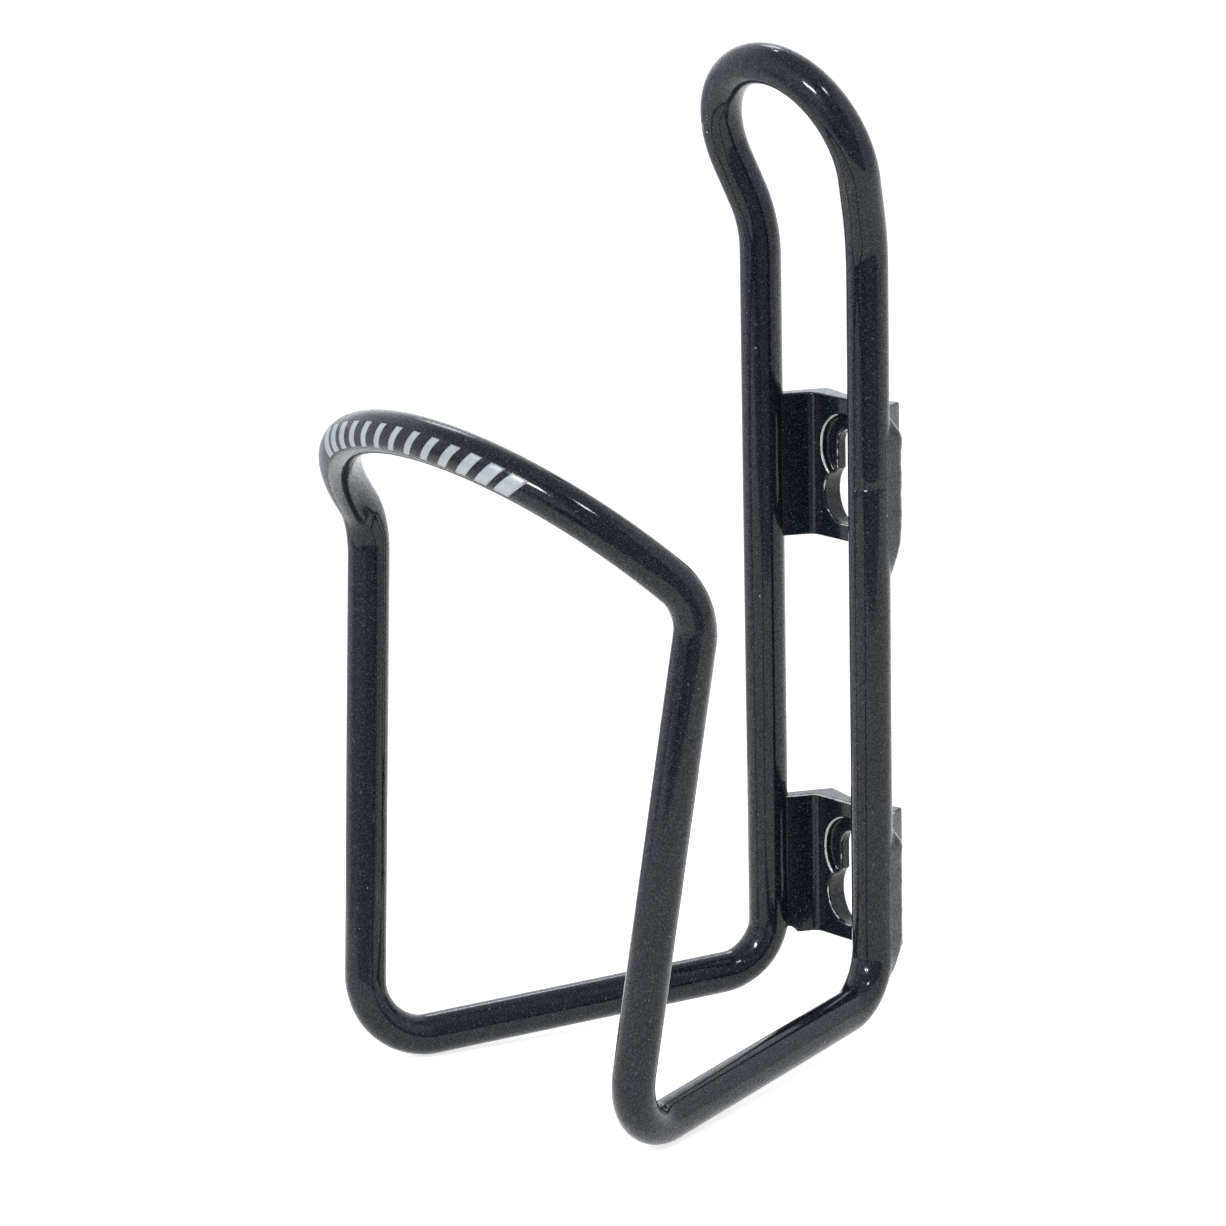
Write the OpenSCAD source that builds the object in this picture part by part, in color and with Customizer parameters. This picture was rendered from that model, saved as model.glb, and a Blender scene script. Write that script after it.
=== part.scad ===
// Bicycle bottle cage: one bent aluminium tube welded to two slotted bracket plates.
// Millimetres. +Z up along the bicycle tube, the bottle stands on the -Y side.
// Origin: middle of the two bracket entry holes, on the root line of the mounting groove.

/* [Tube] */
// Outer diameter of the tube
tube_d = 6.35; // [5:0.05:7]
// Wall thickness of the tube
tube_wall = 1; // [0.8:0.1:1.5]
// Width of the butt seam where the two tube ends meet
seam_gap = 0.15; // [0.1:0.05:0.4]
// Height of the seam above the middle of the upper bracket
seam_rise = 0.2; // [-6:0.1:6]
// How much thinner the tube's radius is where it is drawn round a bend
bend_thinning = 0.02; // [0.02:0.01:0.1]

/* [Stays] */
// Distance between the two stays, centre to centre
stay_spacing = 24; // [23:0.5:26]
// Distance from the root of the mounting groove to the plane of the stays
stay_depth = 8.2; // [8:0.1:8.6]

/* [Top loop] */
// Height of the lean corner above the middle of the two brackets
lean_height = 69.8; // [66:0.2:76]
// Forward lean of the loop, in degrees
loop_lean = 19.4; // [10:0.1:25]
// Bend radius where the stays start to lean
lean_bend_r = 24.4; // [15:0.2:30]
// Distance from the lean corner to the centre of the loop
loop_rise = 13.35; // [13:0.05:16]
// Bend radius of the loop, on the tube's centre line
loop_r = 14.5; // [13.5:0.1:15.5]

/* [Bottom arms] */
// Depth of the rear corner of an arm below the middle of the two brackets
heel_drop = 48.3; // [47.2:0.1:54]
// Bend radius of the rear corner
heel_bend_r = 8.5; // [7:0.1:9]
// Sideways place of the front corner of an arm
toe_x = 30.7; // [28:0.1:33]
// Distance of the front corner ahead of the stays
toe_reach = 66.1; // [62:0.1:70]
// Depth of the front corner below the middle of the two brackets
toe_drop = 51.7; // [48:0.1:56]
// Bend radius of the front corner
toe_bend_r = 9.6; // [8:0.1:11]

/* [Hoop] */
// Half the angle that the hoop's bend covers
hoop_half_angle = 68.5; // [66:0.5:71]
// Distance from the end of the hoop's bend to the shoulder corner
shoulder_run = 6.35; // [6.2:0.05:8]
// Bend radius of the shoulder
shoulder_bend_r = 9.9; // [8:0.1:10]
// Distance of the front of the hoop ahead of the stays
hoop_reach = 77.7; // [74:0.1:82]
// Height of the front of the hoop above the middle of the two brackets
hoop_height = 49.9; // [46:0.1:54]
// Upward tilt of the hoop's plane, in degrees
hoop_tilt = 45.7; // [40:0.1:50]
// Bend radius of the hoop, on the tube's centre line
hoop_r = 38.5; // [37:0.1:40]

/* [Brackets] */
// Distance between the frame bolts, which is the standard for bottle bosses
bolt_spacing = 64; // [64:1:64]
// Height of a bracket plate
bracket_h = 22.4; // [21:0.1:24]
// Thickness of the plate at the root of the groove
plate_t = 2.4; // [2.2:0.1:2.8]
// Half the width of the mounting groove, between its two ridges
groove_half = 8; // [7.4:0.1:8.4]
// Depth of the mounting groove
groove_depth = 2; // [1.6:0.1:2.2]
// Half the width of the flat front of the plate
front_half = 7; // [6.8:0.1:7.4]
// Radius of the bend between the flat front and a flank
front_bend_r = 1.4; // [0.8:0.1:2]
// Radius on the crest of each ridge
ridge_r = 0.5; // [0.3:0.1:0.8]
// Distance, inwards from the stay's centre, that the rear of a flank aims at
flank_rear_in = 0.2; // [0:0.1:0.4]
// Distance, back from the stay's centre, that the rear of a flank aims at
flank_rear_back = 1.5; // [1.2:0.1:1.8]
// Distance, inwards from the stay's centre, that the front of a flank aims at
flank_front_in = 2.6; // [2.4:0.1:2.7]
// Distance, back from the stay's centre, that the front of a flank aims at
flank_front_back = 1; // [0.8:0.1:1.2]

/* [Keyholes] */
// Diameter of the round entry hole that lets a bolt head through
entry_d = 9; // [8.8:0.1:9.6]
// Height of the entry hole's centre below the middle of its bracket
entry_drop = 4.05; // [4:0.05:4.2]
// Diameter of the recess that holds the bolt head
recess_d = 10; // [9.8:0.1:10.4]
// Depth of the recess in the plate's front
recess_depth = 1.2; // [0.8:0.1:1.4]
// Height of the recess's lower centre above the middle of its bracket
recess_low = 2.8; // [2.4:0.1:3]
// Width of the slot for the bolt's shank
slot_w = 5.3; // [5.2:0.1:5.6]
// Height of the seat, where the slot and the recess end, above the middle of its bracket
seat_rise = 3.5; // [3.2:0.1:3.8]

/* [Welds] */
// Diameter of a weld bead
bead_d = 5; // [4.6:0.1:5.2]
// Sideways place of a bead's centre, outwards from the stay
bead_out = 0.3; // [0.1:0.1:0.5]
// Distance of a bead's centre behind the stay
bead_back = 3.3; // [3.1:0.1:3.6]
// Length of a right bead below the bracket
bead_below = 2.4; // [1.5:0.1:3]
// Distance of a left bead's end above the bracket's bottom
left_bead_short = 1; // [0.5:0.1:2]
// Distance of the bead's top below the bracket's top
bead_short = 0.6; // [0.2:0.1:1.5]
// Length of the taper at each end of a bead
bead_taper = 3; // [2:0.1:4]

/* [Printed band] */
// Half the angle of the hoop that the printed band covers
print_half_angle = 33; // [20:1:40]
// Half the angle of the tube's section that the printed band covers
print_half_width = 36; // [20:1:40]
// Thickness of the print
print_t = 0.08; // [0.05:0.01:0.12]

/* [Hidden] */
$fn = 96;

paint = [0.06, 0.07, 0.08];
ink = [0.78, 0.8, 0.82];

tube_r = tube_d / 2;
bore_r = tube_r - tube_wall;
stay_x = stay_spacing / 2;
stay_y = -stay_depth;
mid_z = entry_drop;
upper_z = mid_z + bolt_spacing / 2;
lower_z = mid_z - bolt_spacing / 2;
overrun = 1;
lap = 0.1;
arc_steps = 8;

function unit(v) = v / norm(v);
function polar(r, angle) = r * [cos(angle), sin(angle)];

// Angle, seen from the centre of a circle of radius r, from straight up to the point
// where a line from the outside point [x, y] touches the circle.
function touch_angle(x, y, r) = atan2(x, y) - acos(r / norm([x, y]));

// The loop and the hoop are arcs in leaning planes; these are the planes' upward directions.
loop_up = [0, -sin(loop_lean), cos(loop_lean)];
hoop_up = [0, -cos(hoop_tilt), sin(hoop_tilt)];

lean_corner = [stay_x, stay_y, mid_z + lean_height];
loop_apex = [0, stay_y, mid_z + lean_height] + (loop_rise + loop_r) * loop_up;
loop_turn = touch_angle(stay_x, -loop_rise, loop_r);
loop_corner = loop_apex + [loop_r * tan(loop_turn / 2), 0, 0];

heel = [stay_x, stay_y, mid_z - heel_drop];
toe = [toe_x, stay_y - toe_reach, mid_z - toe_drop];

hoop_apex = [0, stay_y - hoop_reach, mid_z + hoop_height];
hoop_end = hoop_apex + [hoop_r * sin(hoop_half_angle), 0, 0]
    - hoop_r * (1 - cos(hoop_half_angle)) * hoop_up;
shoulder = hoop_end + shoulder_run * ([cos(hoop_half_angle), 0, 0] - sin(hoop_half_angle) * hoop_up);
hoop_corner = hoop_apex + [hoop_r * tan(hoop_half_angle / 2), 0, 0];

// Right half of the tube's centre line, from the top of the loop to the front of the hoop:
// its corners, and the bend radius at each inner corner.
corners = [loop_apex, loop_corner, lean_corner, heel, toe, shoulder, hoop_corner, hoop_apex];
bends = [loop_r, lean_bend_r, heel_bend_r, toe_bend_r, shoulder_bend_r, hoop_r];
last_bend = len(bends);

function heading(i) = unit(corners[i + 1] - corners[i]);
function turn(i) = acos(heading(i - 1) * heading(i));
function setback(i) = bends[i - 1] * tan(turn(i) / 2);

// Moves its children so that their x, y and z axes lie along x, y and z, at a point.
module place(x, y, z, at) {
    multmatrix([
        [x[0], y[0], z[0], at[0]],
        [x[1], y[1], z[1], at[1]],
        [x[2], y[2], z[2], at[2]],
        [0, 0, 0, 1]
    ])
        children();
}

// Bend at corner i of a round bar of radius r, from the first angle round to the last.
// The runs are a little thicker than the bends and lap over their ends.
module bend(i, r, first, last) {
    ahead = heading(i - 1);
    axis = unit(cross(ahead, heading(i)));
    outward = cross(ahead, axis);
    start = corners[i] - setback(i) * ahead;
    place(outward, ahead, axis, start - bends[i - 1] * outward)
        rotate([0, 0, first])
            rotate_extrude(angle = last - first)
                translate([bends[i - 1], 0])
                    circle(r - bend_thinning);
}

// Straight run of a round bar of radius r, from the bend at corner i to the next one.
module straight(i, r) {
    ahead = heading(i);
    axis = unit(cross(heading(i - 1), ahead));
    start = corners[i] + (setback(i) - lap) * ahead;
    length = norm(corners[i + 1] - corners[i]) - setback(i) - setback(i + 1) + 2 * lap;
    place(axis, cross(ahead, axis), ahead, start)
        cylinder(r = r, h = length);
}

// Right side of a round bar of radius r that follows the centre line, with its runs and
// all its bends but the loop and the hoop, which cross the middle.
module side_bar(r) {
    for (i = [1 : last_bend - 1])
        straight(i, r);
    for (i = [2 : last_bend - 1])
        bend(i, r, 0, turn(i));
}

module bar(r) {
    bend(1, r, -turn(1), turn(1));
    bend(last_bend, r, 0, 2 * turn(last_bend));
    side_bar(r);
    mirror([1, 0, 0])
        side_bar(r);
}

// The tube is one piece; its two ends butt together on the right stay, at the upper bracket.
module tube() {
    color(paint)
        difference() {
            bar(tube_r);
            bar(bore_r);
            translate([stay_x, stay_y, upper_z + seam_rise])
                cube([tube_d + overrun, tube_d + overrun, seam_gap], center = true);
        }
}

// Points of an arc of radius r that rounds the corner b of the outline a, b, c.
function rounded(a, b, c, r) =
    let (
        to_a = unit(a - b),
        to_c = unit(c - b),
        half = acos(to_a * to_c) / 2,
        middle = b + r / sin(half) * unit(to_a + to_c),
        first = b + r / tan(half) * to_a - middle,
        last = b + r / tan(half) * to_c - middle,
        start = atan2(first[1], first[0]),
        sweep = atan2(cross(first, last), first * last)
    )
    [for (k = [0 : arc_steps]) middle + polar(r, start + sweep * k / arc_steps)];

// Right half of the plate's section, from the groove's root round to the front.
function half_section() =
    let (
        root = [0, 0],
        ridge = [groove_half, groove_depth],
        rear_end = [stay_x - flank_rear_in, stay_y + flank_rear_back],
        front_end = [stay_x - flank_front_in, stay_y + flank_front_back],
        front_corner = [front_half, -plate_t]
    )
    concat(
        rounded(root, ridge, rear_end, ridge_r),
        [rear_end, front_end],
        rounded(front_end, front_corner, [0, -plate_t], front_bend_r)
    );

module plate_section() {
    right = half_section();
    left = [for (k = [len(right) - 1 : -1 : 0]) [-right[k][0], right[k][1]]];
    polygon(concat([[0, 0]], right, left));
}

// Cylinder along Y that starts in front of the plate and runs back by length.
module drill(d, length) {
    translate([0, -plate_t - overrun, 0])
        rotate([-90, 0, 0])
            cylinder(d = d, h = length + overrun);
}

// Block of width w between two heights, in front of the plate and back by length.
module channel(w, low, high, length) {
    translate([-w / 2, -plate_t - overrun, low])
        cube([w, length + overrun, high - low]);
}

module keyhole() {
    through = plate_t + groove_depth + overrun;
    translate([0, 0, -entry_drop])
        drill(entry_d, through);
    translate([0, 0, seat_rise])
        drill(slot_w, through);
    channel(slot_w, -entry_drop, seat_rise, through);
    translate([0, 0, recess_low])
        drill(recess_d, recess_depth);
    translate([0, 0, seat_rise])
        drill(recess_d, recess_depth);
    channel(recess_d, recess_low, seat_rise, recess_depth);
}

module stay_cut() {
    for (side = [-1, 1])
        translate([side * stay_x, stay_y, 0])
            cylinder(r = tube_r, h = bracket_h + 2 * overrun, center = true);
}

// Bracket plate, centred on the height z.
module bracket(z) {
    color(paint)
        translate([0, 0, z])
            difference() {
                linear_extrude(bracket_h, center = true)
                    plate_section();
                stay_cut();
                keyhole();
            }
}

module upper_bracket() {
    bracket(upper_z);
}

module lower_bracket() {
    bracket(lower_z);
}

// Bead in the corner between a stay and the rear of a flank, on the right side, from height low.
module bead(z, low) {
    high = bracket_h / 2 - bead_short;
    difference() {
        translate([stay_x + bead_out, stay_y + bead_back, z])
            rotate_extrude()
                polygon([
                    [0, low],
                    [bead_d / 4, low],
                    [bead_d / 2, low + bead_taper],
                    [bead_d / 2, high - bead_taper],
                    [bead_d / 4, high],
                    [0, high]
                ]);
        side_bar(tube_r);
        translate([0, 0, z])
            linear_extrude(bracket_h, center = true)
                plate_section();
    }
}

module weld(side, z) {
    reach = side == "left" ? -left_bead_short : bead_below;
    color(paint)
        mirror([side == "left" ? 1 : 0, 0, 0])
            bead(z, -bracket_h / 2 - reach);
}

module upper_left_weld() {
    weld("left", upper_z);
}

module upper_right_weld() {
    weld("right", upper_z);
}

module lower_left_weld() {
    weld("left", lower_z);
}

module lower_right_weld() {
    weld("right", lower_z);
}

// Printed band on the hoop's front: a thin sector of a ring, swept along the hoop.
module hoop_print() {
    under = tube_r - bend_thinning;
    reach = tube_d;
    color(ink)
        place([1, 0, 0], hoop_up, cross([1, 0, 0], hoop_up), hoop_apex - hoop_r * hoop_up)
            rotate([0, 0, 90 - print_half_angle])
                rotate_extrude(angle = 2 * print_half_angle)
                    translate([hoop_r, 0])
                        intersection() {
                            difference() {
                                circle(under + print_t);
                                circle(under);
                            }
                            polygon([
                                [0, 0],
                                polar(reach, hoop_tilt - print_half_width),
                                polar(reach, hoop_tilt + print_half_width)
                            ]);
                        }
}

tube();
upper_bracket();
lower_bracket();
upper_left_weld();
upper_right_weld();
lower_left_weld();
lower_right_weld();
hoop_print();
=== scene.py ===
"""Looks of a bicycle bottle cage: one bent tube, two bracket plates, four weld beads and a printed mark.

Lengths are in millimetres and turn into metres where a mesh is made. The frame is the CAD's: +X right,
-Y towards the bottle, +Z up, with the origin between the two brackets' entry holes.
"""

import math

import bpy
import numpy as np
from mathutils import Matrix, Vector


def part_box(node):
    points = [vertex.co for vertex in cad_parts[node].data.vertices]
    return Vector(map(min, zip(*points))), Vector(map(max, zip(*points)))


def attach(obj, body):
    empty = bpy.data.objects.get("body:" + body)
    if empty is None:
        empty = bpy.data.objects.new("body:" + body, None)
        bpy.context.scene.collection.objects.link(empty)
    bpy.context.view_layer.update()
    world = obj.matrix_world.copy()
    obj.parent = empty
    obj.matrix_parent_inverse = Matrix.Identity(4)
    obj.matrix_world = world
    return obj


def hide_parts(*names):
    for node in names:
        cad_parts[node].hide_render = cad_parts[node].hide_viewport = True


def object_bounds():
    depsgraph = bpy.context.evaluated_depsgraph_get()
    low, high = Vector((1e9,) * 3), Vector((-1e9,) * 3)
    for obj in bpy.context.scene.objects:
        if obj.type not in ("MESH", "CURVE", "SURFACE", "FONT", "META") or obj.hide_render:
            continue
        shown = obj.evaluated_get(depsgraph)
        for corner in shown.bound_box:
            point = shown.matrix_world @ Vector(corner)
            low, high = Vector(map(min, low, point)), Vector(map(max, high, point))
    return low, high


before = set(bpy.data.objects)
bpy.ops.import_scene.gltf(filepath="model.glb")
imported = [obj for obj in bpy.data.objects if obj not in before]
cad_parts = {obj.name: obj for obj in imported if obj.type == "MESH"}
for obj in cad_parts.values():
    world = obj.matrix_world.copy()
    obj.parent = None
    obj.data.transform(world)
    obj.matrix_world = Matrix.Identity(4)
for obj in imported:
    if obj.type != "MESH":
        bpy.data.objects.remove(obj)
cad_box = [list(corner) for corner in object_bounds()]

MM = 0.001
BODY = "root"
RIGHT = np.array([1.0, 0.0, 0.0])
UP = np.array([0.0, 0.0, 1.0])
MIRROR_X = np.array([-1.0, 1.0, 1.0])
TINY = 1e-6

# Vertex attribute that says where a light grey highlight is painted, from 0 to 1.
HIGHLIGHT_ATTRIBUTE = "painted_highlight"


# ---------------------------------------------------------------- small geometry

def unit(v):
    return v / np.linalg.norm(v)


def node_box(name):
    """Lowest and highest corner of a CAD node, in millimetres."""
    low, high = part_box(name)
    return np.array(low) / MM, np.array(high) / MM


def mesh_object(name, points_mm, faces, material, node):
    """A smooth mesh piece that stands for a CAD node."""
    mesh = bpy.data.meshes.new(name)
    mesh.from_pydata((np.asarray(points_mm) * MM).tolist(), [], faces)
    mesh.update()
    mesh.polygons.foreach_set("use_smooth", [True] * len(mesh.polygons))
    piece = bpy.data.objects.new(name, mesh)
    bpy.context.scene.collection.objects.link(piece)
    mesh.materials.append(material)
    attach(piece, BODY)
    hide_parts(node)
    return piece


def set_painted_highlight(piece, values):
    """Stores how strongly a light grey highlight is painted at each point of a piece."""
    painted_highlight = piece.data.attributes.new(HIGHLIGHT_ATTRIBUTE, "FLOAT", "POINT")
    painted_highlight.data.foreach_set("value", values)


# ---------------------------------------------------------------- materials

class Nodes:
    """Short calls for building a node tree."""

    def __init__(self, tree):
        self.tree = tree

    def add(self, kind, **settings):
        node = self.tree.nodes.new(kind)
        for key, value in settings.items():
            setattr(node, key, value)
        return node

    def feed(self, socket, value):
        if isinstance(value, bpy.types.NodeSocket):
            self.tree.links.new(value, socket)
        else:
            socket.default_value = value

    def math(self, operation, a, b=0.0):
        node = self.add("ShaderNodeMath", operation=operation)
        self.feed(node.inputs[0], a)
        self.feed(node.inputs[1], b)
        return node.outputs[0]

    def ramp(self, value, low, high, to_low=0.0, to_high=1.0):
        """Smooth step of value from to_low, at low, to to_high, at high."""
        node = self.add("ShaderNodeMapRange", interpolation_type="SMOOTHSTEP")
        for socket, number in zip(node.inputs[:5], (value, low, high, to_low, to_high)):
            self.feed(socket, number)
        return node.outputs["Result"]

    def noise(self, vector, scale, detail=2.0, roughness=0.5):
        node = self.add("ShaderNodeTexNoise")
        self.feed(node.inputs["Vector"], vector)
        self.feed(node.inputs["Scale"], scale)
        self.feed(node.inputs["Detail"], detail)
        self.feed(node.inputs["Roughness"], roughness)
        return node.outputs["Fac"]

    def stretch(self, vector, scale):
        """The vector with each of its parts scaled on its own."""
        node = self.add("ShaderNodeVectorMath", operation="MULTIPLY")
        self.feed(node.inputs[0], vector)
        self.feed(node.inputs[1], scale)
        return node.outputs[0]

    def distance(self, vector, point):
        node = self.add("ShaderNodeVectorMath", operation="DISTANCE")
        self.feed(node.inputs[0], vector)
        self.feed(node.inputs[1], point)
        return node.outputs["Value"]

    def blend(self, factor, a, b):
        """Colour a where factor is 0, and colour b where it is 1."""
        node = self.add("ShaderNodeMix", data_type="RGBA")
        self.feed(node.inputs[0], factor)
        self.feed(node.inputs[6], a)
        self.feed(node.inputs[7], b)
        return node.outputs[2]


def new_material(name):
    """A material, short calls for its node tree, its shader and a socket with places on the piece."""
    material = bpy.data.materials.new(name)
    material.use_nodes = True
    tree = material.node_tree
    shader = next(n for n in tree.nodes if n.type == "BSDF_PRINCIPLED")
    nodes = Nodes(tree)
    place = nodes.add("ShaderNodeTexCoord").outputs["Object"]
    return material, nodes, shader, place


# Places where the paint is chipped and how far the chips reach, in metres: the outside of the left toe
# and of the top loop.
CHIPPED = {
    (-0.0345, -0.0745, -0.044): 0.0050,
    (-0.0160, -0.0170, 0.0900): 0.0060,
    (0.0030, -0.0170, 0.1030): 0.0040,
    (-0.0240, -0.0500, -0.0480): 0.0030,
}


def grained_black(nodes, place, cloud):
    """Near-black colour, a little uneven, with a fine grain and specks of dust."""
    black = nodes.blend(cloud, (0.0022, 0.0034, 0.0056, 1), (0.0034, 0.0050, 0.0082, 1))
    flake = nodes.ramp(nodes.noise(place, 4200.0, 2.0, 0.6), 0.50, 0.68)
    grained = nodes.blend(nodes.math("MULTIPLY", flake, 0.60), black, (0.036, 0.043, 0.052, 1))
    specks = nodes.ramp(nodes.noise(place, 2600.0, 1.0), 0.69, 0.77)
    return nodes.blend(nodes.math("MULTIPLY", specks, 0.45), grained, (0.13, 0.14, 0.15, 1))


def scratches(nodes, place):
    """Fine upright scratches, in patches, from 0 to 1."""
    streaks = nodes.noise(nodes.stretch(place, (1500.0, 1500.0, 60.0)), 1.0, 2.0)
    patches = nodes.ramp(nodes.noise(place, 45.0, 1.0), 0.52, 0.70)
    return nodes.math("MULTIPLY", nodes.ramp(streaks, 0.66, 0.74), patches)


def chips(nodes, place):
    """Chips in the paint, from 0 to 1: many near the chipped places and hardly any elsewhere."""
    near = 0.0
    for point, reach in CHIPPED.items():
        close = nodes.ramp(nodes.distance(place, point), 0.0, reach, 1.0, 0.0)
        near = nodes.math("MAXIMUM", near, close)
    grit = nodes.noise(place, 1100.0, 3.0, 0.6)
    return nodes.ramp(nodes.math("ADD", grit, nodes.math("MULTIPLY", near, 0.17)), 0.735, 0.775)


def painted_highlight_patches(nodes, place):
    """Where a light grey highlight is painted, from 0 to 1: patches along the edges that carry the highlight
    attribute.
    """
    highlight_strength = nodes.add("ShaderNodeAttribute", attribute_name=HIGHLIGHT_ATTRIBUTE).outputs["Fac"]
    uneven = nodes.math("SUBTRACT", nodes.noise(place, 700.0, 3.0, 0.6), 0.5)
    patchy = nodes.ramp(nodes.math("ADD", highlight_strength, nodes.math("MULTIPLY", uneven, 1.3)), 0.42, 0.70)
    return nodes.ramp(nodes.math("MULTIPLY", patchy, highlight_strength), 0.25, 0.60)


def paint_bump(nodes, place, chip):
    """Surface direction with orange peel, grain and the hollows of the chips."""
    peel = nodes.math("MULTIPLY", nodes.noise(place, 420.0, 2.0), 0.004)
    grain = nodes.math("MULTIPLY", nodes.noise(place, 3800.0, 1.0), 0.0012)
    height = nodes.math("SUBTRACT", nodes.math("ADD", peel, grain), nodes.math("MULTIPLY", chip, 0.03))
    bump = nodes.add("ShaderNodeBump")
    nodes.feed(bump.inputs["Strength"], 1.0)
    nodes.feed(bump.inputs["Distance"], MM)
    nodes.feed(bump.inputs["Height"], height)
    return bump.outputs["Normal"]


def paint_material():
    """Gloss black paint with a fine grain, orange peel, dust, scratches, chips and painted highlights along
    some edges.
    """
    material, nodes, shader, place = new_material("gloss_black_paint")
    cloud = nodes.noise(place, 60.0, 3.0)
    scratch = scratches(nodes, place)
    chip = chips(nodes, place)
    # Chips are real damage to the paint; the rest of this mask is painted highlight along edges.
    chips_and_highlights = nodes.math("MAXIMUM", chip, painted_highlight_patches(nodes, place))

    scuff = nodes.math("MULTIPLY", scratch, 0.22)
    scuffed = nodes.blend(scuff, grained_black(nodes, place, cloud), (0.12, 0.125, 0.13, 1))
    # Light grey colour for the chips and for the painted highlights.
    nodes.feed(shader.inputs["Base Color"], nodes.blend(chips_and_highlights, scuffed, (0.42, 0.42, 0.41, 1)))

    scratches_chips_and_highlights = nodes.math("MAXIMUM", nodes.math("MULTIPLY", scratch, 0.5), chips_and_highlights)
    rough = nodes.ramp(cloud, 0.3, 0.7, 0.13, 0.19)
    nodes.feed(shader.inputs["Roughness"], nodes.math("ADD", rough, nodes.math("MULTIPLY", scratches_chips_and_highlights, 0.35)))

    normal = paint_bump(nodes, place, chip)
    nodes.feed(shader.inputs["Normal"], normal)
    nodes.feed(shader.inputs["Coat Normal"], normal)

    gleam = nodes.noise(place, 4800.0, 2.0, 0.6)
    nodes.feed(shader.inputs["Specular IOR Level"], nodes.ramp(gleam, 0.40, 0.60, 0.0, 0.30))
    nodes.feed(shader.inputs["IOR"], 1.45)
    nodes.feed(shader.inputs["Coat Weight"], 0.40)
    nodes.feed(shader.inputs["Coat Roughness"], 0.045)
    nodes.feed(shader.inputs["Coat IOR"], 1.45)
    return material


def ink_material():
    """Silver-grey print: metal pigment in a clear binder, a little uneven."""
    material, nodes, shader, place = new_material("silver_print")
    flake = nodes.noise(place, 3000.0, 2.0)
    cloud = nodes.noise(place, 300.0, 2.0)
    mottled = nodes.math("ADD", nodes.math("MULTIPLY", flake, 0.6), nodes.math("MULTIPLY", cloud, 0.4))
    silver = nodes.blend(nodes.ramp(mottled, 0.3, 0.7), (0.27, 0.28, 0.29, 1), (0.38, 0.39, 0.40, 1))
    nodes.feed(shader.inputs["Base Color"], silver)
    nodes.feed(shader.inputs["Roughness"], nodes.ramp(flake, 0.3, 0.7, 0.28, 0.42))
    nodes.feed(shader.inputs["Metallic"], 0.25)
    return material


def floor_material():
    """Pale paper with a soft glow of its own. Its back is clear, so that a view from below isn't blocked."""
    material, nodes, shader, place = new_material("pale_paper")
    fibre = nodes.noise(place, 900.0, 4.0)
    nodes.feed(shader.inputs["Base Color"], nodes.blend(fibre, (0.58, 0.57, 0.56, 1), (0.62, 0.61, 0.60, 1)))
    nodes.feed(shader.inputs["Roughness"], 0.9)
    nodes.feed(shader.inputs["Specular IOR Level"], 0.1)
    nodes.feed(shader.inputs["Emission Color"], (1, 1, 1, 1))
    nodes.feed(shader.inputs["Emission Strength"], 0.72)
    clear = nodes.add("ShaderNodeBsdfTransparent")
    sides = nodes.add("ShaderNodeMixShader")
    output = next(n for n in material.node_tree.nodes if n.type == "OUTPUT_MATERIAL")
    nodes.feed(sides.inputs[0], nodes.add("ShaderNodeNewGeometry").outputs["Backfacing"])
    nodes.feed(sides.inputs[1], shader.outputs[0])
    nodes.feed(sides.inputs[2], clear.outputs[0])
    nodes.feed(output.inputs["Surface"], sides.outputs[0])
    return material


# ---------------------------------------------------------------- studio

CAMERA_PLACE = np.array([589.98, -540.07, 209.84])
CAMERA_AZIMUTH = 50.22
CAMERA_ELEVATION = 13.78
CAMERA_ROLL = -1.15
CAMERA_LENS = 156.58
CAMERA_SENSOR = 36
CAMERA_CLIP = (0.01, 100)

FLOOR_R = 4000
FLOOR_GAP = 0.2
FLOOR_SIDES = 256
FLOOR_EDGE = 285
FLOOR_EDGE_AZIMUTH = 60
FLOOR_LEFT = 150

# The tent's brightness at its sides and its top, and the elevations between which it changes.
TENT_SIDES, TENT_TOP = 1.30, 0.72
TENT_TURN = (42, 60)
TENT_COLOUR = (0.95, 1.0, 1.06, 1)

# Parts of the tent: azimuths, elevations and softness of the edges, in degrees. Azimuth 0 is towards -Y
# and 90 towards +X. The tent is open at OPENINGS. In SHADES the last number is the share of the brightness
# that a part keeps, and in LAMPS it is the brightness that is added.
OPENINGS = [
    ((36, 104), (-40, 62), 6),
    ((12, 104), (-40, 1), 5),
]
OPENING_LOSS = 0.64
SHADES = [
    ((-40, 40), (-40, 3), 9, 0.62),
    ((-128, -72), (-60, 0), 8, 0.62),
    ((118, 170), (-40, 8), 10, 0.84),
]
LAMPS = [
    ((12, 29), (32, 38), 1.5, 80),
    ((76, 89), (53, 60), 1.5, 34),
    ((-133, -119), (34, 46), 3, 6),
    ((-165, -108), (3, 28), 5, 0.25),
]
BACKDROP = 1.2


def make_camera():
    """A camera that looks at the cage from its front right, a little from above."""
    azimuth, elevation, roll = map(math.radians, (CAMERA_AZIMUTH, CAMERA_ELEVATION, CAMERA_ROLL))
    back = np.array([
        math.sin(azimuth) * math.cos(elevation),
        -math.cos(azimuth) * math.cos(elevation),
        math.sin(elevation),
    ])
    level = np.array([math.cos(azimuth), math.sin(azimuth), 0.0])
    upright = np.cross(back, level)
    right = level * math.cos(roll) + upright * math.sin(roll)
    up = upright * math.cos(roll) - level * math.sin(roll)
    data = bpy.data.cameras.new("camera")
    data.lens = CAMERA_LENS
    data.sensor_width = CAMERA_SENSOR
    data.clip_start, data.clip_end = CAMERA_CLIP
    camera = bpy.data.objects.new("camera", data)
    turn = Matrix(np.column_stack([right, up, back]).tolist()).to_4x4()
    camera.matrix_world = Matrix.Translation((CAMERA_PLACE * MM).tolist()) @ turn
    bpy.context.scene.collection.objects.link(camera)
    bpy.context.scene.camera = camera


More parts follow.
